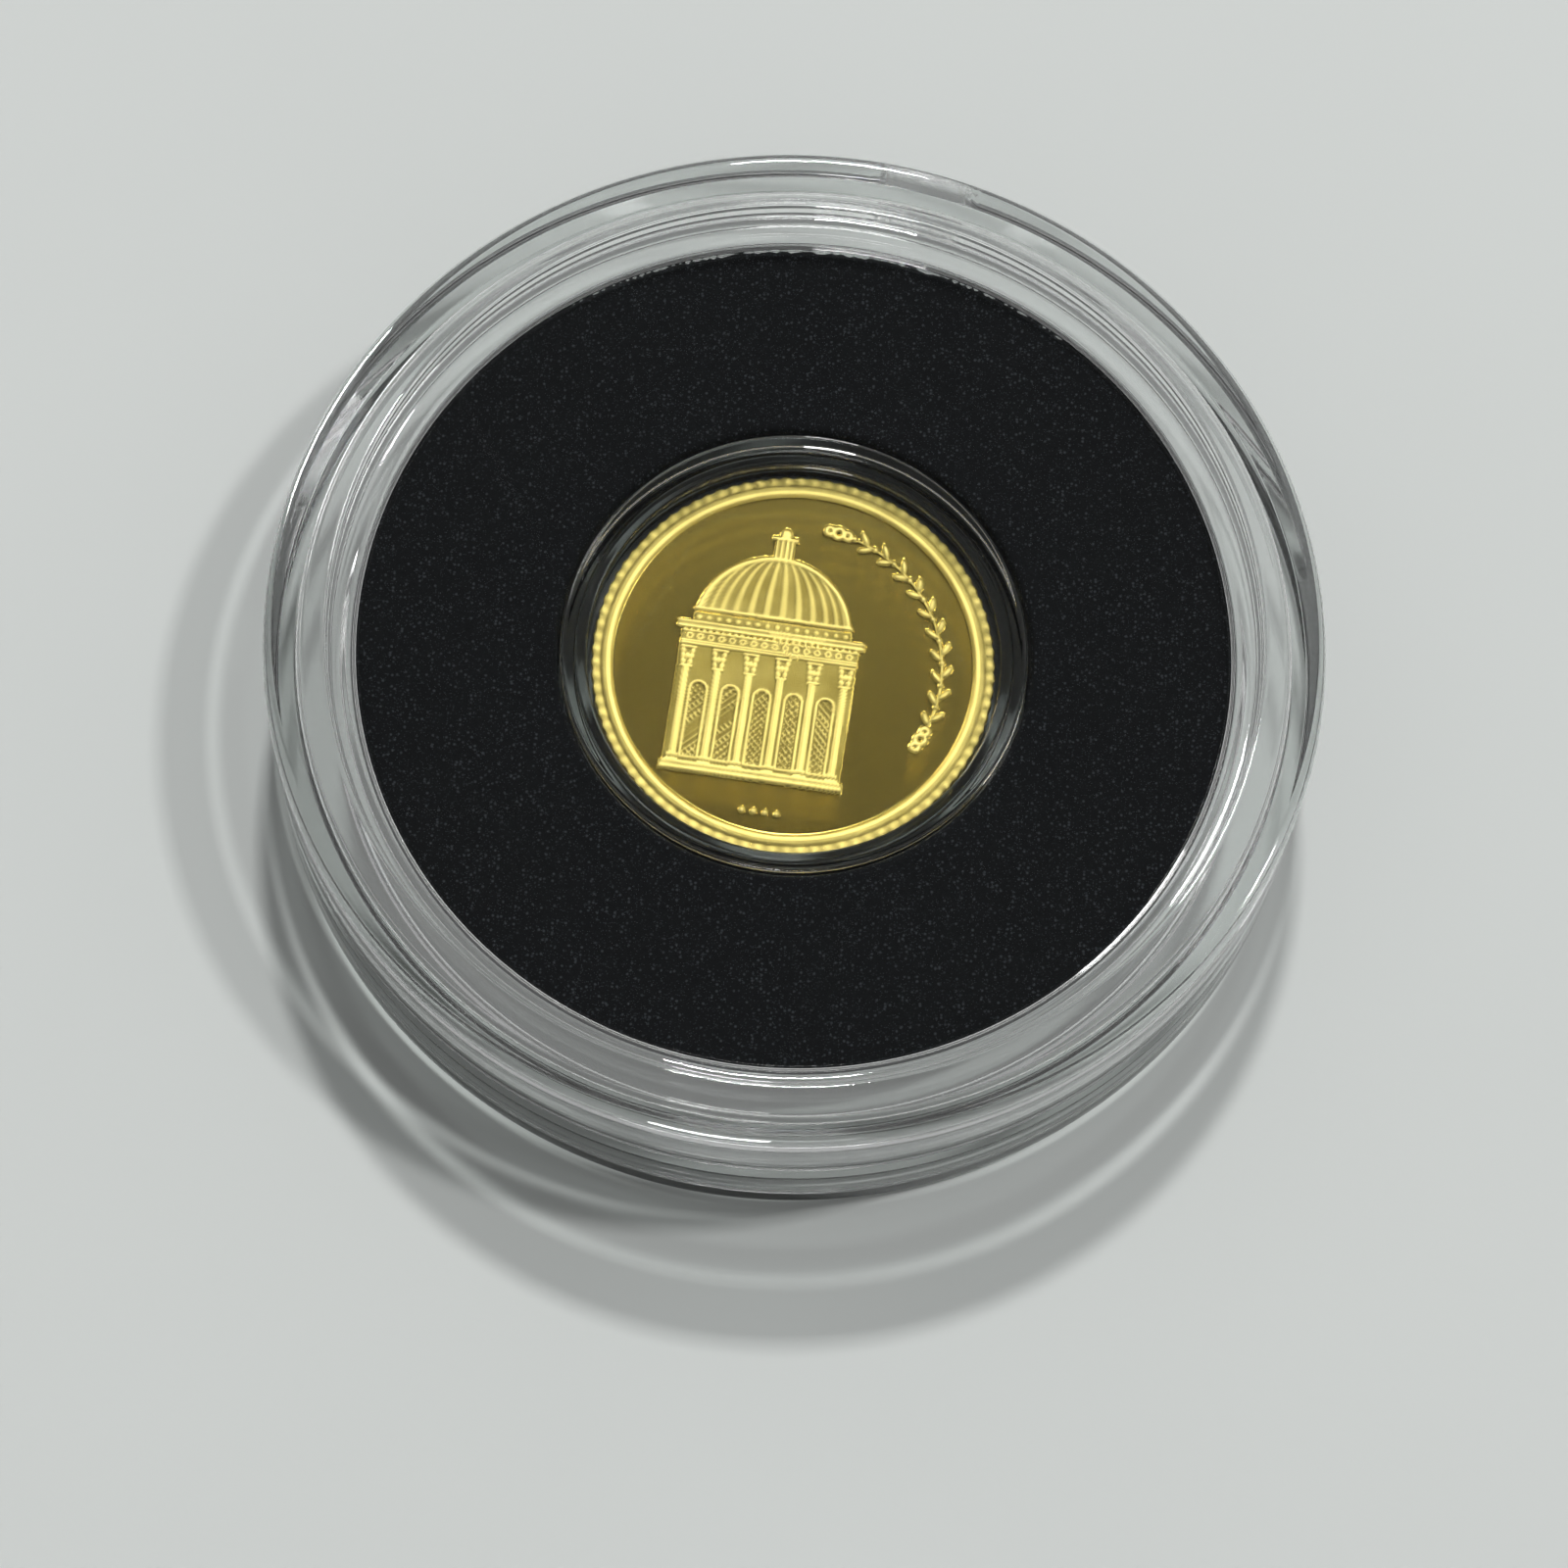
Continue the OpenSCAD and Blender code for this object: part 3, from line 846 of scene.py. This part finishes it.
def pavilion(x, y):
    """Symmetrical garden pavilion: a dome over a row of columns with trellised openings."""
    dx = x - MIDDLE
    wall = plate(block(dx, y, -HALF_W, HALF_W, FLOOR, EAVES), 0.04)
    shapes = [dome(x, y), entablature(x, y)]
    for i in range(BAYS):
        shape, depth = opening(x, y, MIDDLE + (i + 0.5 - BAYS / 2) * BAY)
        wall = wall * (1 - 0.6 * depth)
        shapes.append(shape)
    shapes += [column(x, y, MIDDLE + (i - BAYS / 2) * BAY) for i in range(BAYS + 1)]
    shapes += [
        ridge(y - FLOOR + 0.02, 0.09, 0.1) * (np.abs(dx) < HALF_W),
        ridge(y - FLOOR + 0.2, 0.07, 0.1) * (np.abs(dx) < HALF_W + 0.06),
        plate(block(dx, y, -HALF_W - 0.1, HALF_W + 0.1, FLOOR - 0.35, FLOOR), 0.06, 0.04),
    ]
    return highest(wall, *shapes)


def leaf_arc(x, y):
    """Laurel in an arc beside the pavilion, a knot at each end, and small beads below."""
    r, a = np.hypot(x, y), np.arctan2(y, x)
    middle = 5.12
    parts = [ridge(r - middle, 0.035, 0.06) * (a > math.radians(-18)) * (a < math.radians(72))]
    for i in range(10):
        at = math.radians(-14 + 9.2 * i)
        for side in (-1, 1):
            lean = at + math.pi / 2 - side * 0.65
            where = at + 0.02 * side
            reach = middle + side * 0.19
            parts.append(bump(x, y, reach * math.cos(where), reach * math.sin(where), 0.27, 0.1, 0.09, lean))
        berry = at + math.radians(4.6)
        parts.append(bump(x, y, middle * math.cos(berry), middle * math.sin(berry), 0.09, 0.09, 0.09))
    for end in (80, -24):
        for step, size in ((-3.6, 0.22), (0, 0.26), (3.6, 0.22)):
            at = math.radians(end + step)
            cx, cy = middle * math.cos(at), middle * math.sin(at)
            parts.append(ring_bump(x, y, cx, cy, size - 0.09, 0.09, 0.09))
    for i in range(4):
        parts.append(bump(x, y, -1.0 + 0.4 * i, -5.5, 0.11, 0.11, 0.1))
    return highest(*parts)


def front_picture(x, y):
    """Pavilion with the laurel beside it."""
    return highest(pavilion(x, y), leaf_arc(x, y))


def back_picture(x, y):
    """Plain wreath of beads round a large rosette."""
    r, a = np.hypot(x, y), np.arctan2(y, x)
    beads = ridge(np.hypot(r - 5.2, ((a / (2 * math.pi) * 36) % 1 - 0.5) * 0.85), 0.22, 0.08)
    petals = 2.3 + 1.1 * np.cos(5 * a)
    return highest(beads, plate(petals - r, 0.07, 0.3), ring_bump(x, y, 0, 0, 4.2, 0.1, 0.07))


def disc_grid(cells):
    """Even square grid mapped to the unit disc: radius, angle, faces and the boundary's order."""
    line = np.linspace(-1, 1, cells + 1)
    b, a = np.meshgrid(line, line, indexing="ij")
    wide = np.abs(a) >= np.abs(b)
    safe_a, safe_b = np.where(a == 0, 1, a), np.where(b == 0, 1, b)
    radius = np.where(wide, a, b)
    turn = np.where(wide, math.pi / 4 * b / safe_a, math.pi / 2 - math.pi / 4 * a / safe_b)
    x, y = (radius * np.cos(turn)).ravel(), (radius * np.sin(turn)).ravel()
    index = np.arange((cells + 1) ** 2).reshape(cells + 1, cells + 1)
    faces = np.stack([index[:-1, :-1], index[:-1, 1:], index[1:, 1:], index[1:, :-1]], -1).reshape(-1, 4)
    edge = np.concatenate([index[0, :-1], index[:-1, -1], index[-1, :0:-1], index[:0:-1, 0]])
    return x, y, faces, edge


class CAPSULE_OT_coin(Operator):
    """Gold coin with a reeded edge, a polished field and a frosted relief"""
    bl_idname = "capsule.coin"
    bl_label = "Coin"

    def execute(self, context):
        s, low, high = settings("coin"), *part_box("coin")
        coin_r = max(high.x, high.y)
        field_r = coin_r - s.rim_w
        unit = field_r / DRAWN_FIELD_R
        bottom, top = low.z + REST_GAP, high.z
        bead_r = coin_r - s.bead_w / 2

        def rim_shape(r, groove):
            """Height of the rim and its row of beads over the field, and its painted light: a painted
            highlight on the inner edge and the bead tops, painted shade in the cut.
            """
            flat = s.field_depth * ramp(r, field_r - 0.05 * MM, field_r + 0.06 * MM)
            cut = ramp(r, coin_r - s.bead_w * 1.3, coin_r - s.bead_w)
            bead = ridge(r - bead_r, s.bead_w * 0.55, 0.08 * MM) * (1 - 0.6 * groove)
            height = flat - 0.08 * MM * cut + bead * cut
            # Painted highlight along the rim's inner edge and on the bead tops, painted shade in the cut
            # before the beads
            inner_edge = ramp(np.abs(r - field_r - 0.09 * MM), 0.12 * MM, 0.05 * MM)
            level = 0.3 + 0.65 * inner_edge - 0.25 * cut + 0.75 * bead / (0.08 * MM) * cut
            return height, np.clip(level, 0, 1)

        def face(cells, up, picture):
            """Points of one side, how frosted they are, and their painted light."""
            x, y, faces, edge = disc_grid(cells)
            share_r, a = np.hypot(x, y), np.arctan2(y, x)
            groove = 0.5 - 0.5 * np.cos(s.reeds * a)
            r = share_r * (coin_r - s.reed_depth * groove * ramp(share_r, 0.95, 1))
            px, py = r * np.cos(a), r * np.sin(a)
            art = picture(px / unit, py / unit) * s.relief_h / DRAWN_RELIEF
            inside = 1 - ramp(r, field_r - 0.06 * MM, field_r)
            rim, rim_painted_light = rim_shape(r, groove)
            height = art * inside + rim - s.field_depth
            frost = ramp(art, 0.002 * MM, 0.012 * MM) * inside + 1 - inside
            # Painted light: higher relief is coloured lighter and lower relief darker
            level = ramp(art / s.relief_h, 0.3, 0.95) * inside + rim_painted_light * (1 - inside)
            z = top + height if up else bottom - height
            return np.stack([px, py, z], -1), np.stack([frost, level]), faces, edge

        front, front_masks, front_faces, front_edge = face(250, True, front_picture)
        back, back_masks, back_faces, back_edge = face(125, False, back_picture)
        rows = 8
        upper, count = front[front_edge], len(front_edge)
        lowest_z = bottom + 0.16 * MM
        side = []
        for i in range(1, rows):
            ring = upper.copy()
            ring[:, 2] += (lowest_z - ring[:, 2]) * i / (rows - 1)
            side.append(ring)
        points = np.concatenate([front, *side, back])
        masks = np.concatenate([front_masks, np.full((2, count * (rows - 1)), 0.6), back_masks], 1)
        rings = [front_edge] + [len(front) + i * count + np.arange(count) for i in range(rows - 1)]
        faces = front_faces.tolist()
        for above, below in zip(rings, rings[1:]):
            faces += np.stack([above, below, np.roll(below, -1), np.roll(above, -1)], -1).tolist()
        start = len(front) + count * (rows - 1)
        fine, coarse = rings[-1], start + back_edge
        for k in range(len(coarse)):
            f0, f1, f2 = fine[2 * k], fine[2 * k + 1], fine[(2 * k + 2) % count]
            c0, c1 = coarse[k], coarse[(k + 1) % len(coarse)]
            faces += [(int(f0), int(c0), int(f1)), (int(f1), int(c0), int(c1)), (int(f1), int(c1), int(f2))]
        faces += (back_faces[:, ::-1] + start).tolist()
        turn = Matrix.Rotation(s.turn, 3, "Z")
        points = points @ np.array(turn).T
        coin = shaded_mesh("struck_coin", points.tolist(), faces)
        mark(coin, "frost", masks[0])
        mark(coin, "relief", masks[1])
        finish_piece(coin, struck_gold(), "coin", "coin")
        return {"FINISHED"}


# ---- stage ----

def area_lamp(name, azimuth, elevation, size, strength, only_seen=False):
    """Square lamp at an angle from +X and above the floor, aimed at the capsule.

    A lamp that is only seen shows in shiny faces and lights nothing matt.
    """
    lamp = bpy.data.lights.new(name, "AREA")
    lamp.shape, lamp.size = "SQUARE", size
    away = 1.2
    lamp.energy = strength
    holder = bpy.data.objects.new(name, lamp)
    a, e = math.radians(azimuth), math.radians(elevation)
    line = Vector((math.cos(e) * math.cos(a), math.cos(e) * math.sin(a), math.sin(e)))
    holder.location = line * away
    holder.rotation_euler = line.to_track_quat("Z", "Y").to_euler()
    holder.visible_diffuse = not only_seen
    bpy.context.scene.collection.objects.link(holder)


class CAPSULE_OT_stage(Operator):
    """Floor, lamps, plain room and camera"""
    bl_idname = "capsule.stage"
    bl_label = "Stage"

    def execute(self, context):
        s, scene = settings("stage"), context.scene
        half, below = 1.5, -2 * REST_GAP
        corners = [(-half, -half, below), (half, -half, below), (half, half, below), (-half, half, below)]
        floor = shaded_mesh("floor", corners, [(0, 1, 2, 3)])
        floor.data.materials.append(floor_white())

        area_lamp("side_lamp", 16, 60, 0.09, 3.7 * s.side_lamp)
        area_lamp("far_lamp", 90, 56, 0.09, 5.9 * s.far_lamp)
        area_lamp("left_card", 138, 22, 0.4, 22 * s.cards, only_seen=True)
        area_lamp("front_card", -97, 20, 0.35, 14 * s.cards, only_seen=True)
        world = bpy.data.worlds.new("plain_room")
        world.use_nodes = True
        tree = world.node_tree
        up = add(tree, "SeparateXYZ", Vector=add(tree, "TexCoord").outputs["Generated"]).outputs["Z"]
        glow = remap(tree, up, 0.5, 0.82, s.walls, s.ceiling)
        link(tree, glow, tree.nodes["Background"].inputs["Strength"])
        tree.nodes["Background"].inputs["Color"].default_value = (1, 1, 1, 1)
        scene.world = world

        camera = bpy.data.cameras.new("camera")
        camera.lens, camera.sensor_width = s.lens, 36
        camera.clip_start, camera.clip_end = 0.01, 10
        holder = bpy.data.objects.new("camera", camera)
        middle = Vector((0, s.aim_y, shell_levels()["part"]))
        back = Vector((0, -math.sin(s.tilt), math.cos(s.tilt)))
        turn = Matrix.Rotation(s.roll, 3, back) @ Matrix.Rotation(s.tilt, 3, "X")
        holder.matrix_world = Matrix.Translation(middle + back * s.distance) @ turn.to_4x4()
        scene.collection.objects.link(holder)
        scene.camera = holder

        scene.view_settings.view_transform = "Standard"
        scene.cycles.use_denoising = True
        scene.cycles.use_adaptive_sampling = True
        scene.cycles.adaptive_threshold = 0.03
        scene.cycles.max_bounces = 14
        scene.cycles.transmission_bounces = 14
        scene.cycles.diffuse_bounces = 2
        scene.cycles.glossy_bounces = 8
        scene.cycles.transparent_max_bounces = 32
        scene.cycles.sample_clamp_indirect = 8
        return {"FINISHED"}


# ---- add-on ----

class CAPSULE_PT_panel(Panel):
    """Builds each piece of the capsule and its stage"""
    bl_idname = "CAPSULE_PT_panel"
    bl_label = "Coin Capsule"
    bl_space_type = "VIEW_3D"
    bl_region_type = "UI"
    bl_category = "Capsule"

    def draw(self, context):
        for operator in OPERATORS:
            self.layout.operator(operator.bl_idname)
        for name in GROUPS:
            box = self.layout.box()
            box.label(text=name.replace("_", " ").capitalize())
            group = settings(name)
            for key in group.bl_rna.properties.keys():
                if key not in ("rna_type", "name"):
                    box.prop(group, key)


OPERATORS = (
    CAPSULE_OT_outer_shells,
    CAPSULE_OT_small_shells,
    CAPSULE_OT_foam_ring,
    CAPSULE_OT_coin,
    CAPSULE_OT_stage,
)
GROUPS = {
    "shell": ShellSizes,
    "small_shell": SmallShellSizes,
    "acrylic": AcrylicFinish,
    "foam": FoamFinish,
    "coin": CoinSizes,
    "stage": StageLook,
}


def register():
    for group in GROUPS.values():
        bpy.utils.register_class(group)
    for name, group in GROUPS.items():
        setattr(bpy.types.Scene, "capsule_" + name, PointerProperty(type=group))
    for operator in OPERATORS:
        bpy.utils.register_class(operator)
    bpy.utils.register_class(CAPSULE_PT_panel)


def unregister():
    bpy.utils.unregister_class(CAPSULE_PT_panel)
    for operator in reversed(OPERATORS):
        bpy.utils.unregister_class(operator)
    for name, group in reversed(GROUPS.items()):
        delattr(bpy.types.Scene, "capsule_" + name)
        bpy.utils.unregister_class(group)


def main():
    """Registers everything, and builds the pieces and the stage."""
    register()
    bpy.ops.capsule.outer_shells()
    bpy.ops.capsule.small_shells()
    bpy.ops.capsule.foam_ring()
    bpy.ops.capsule.coin()
    bpy.ops.capsule.stage()


if __name__ == "__main__":
    main()
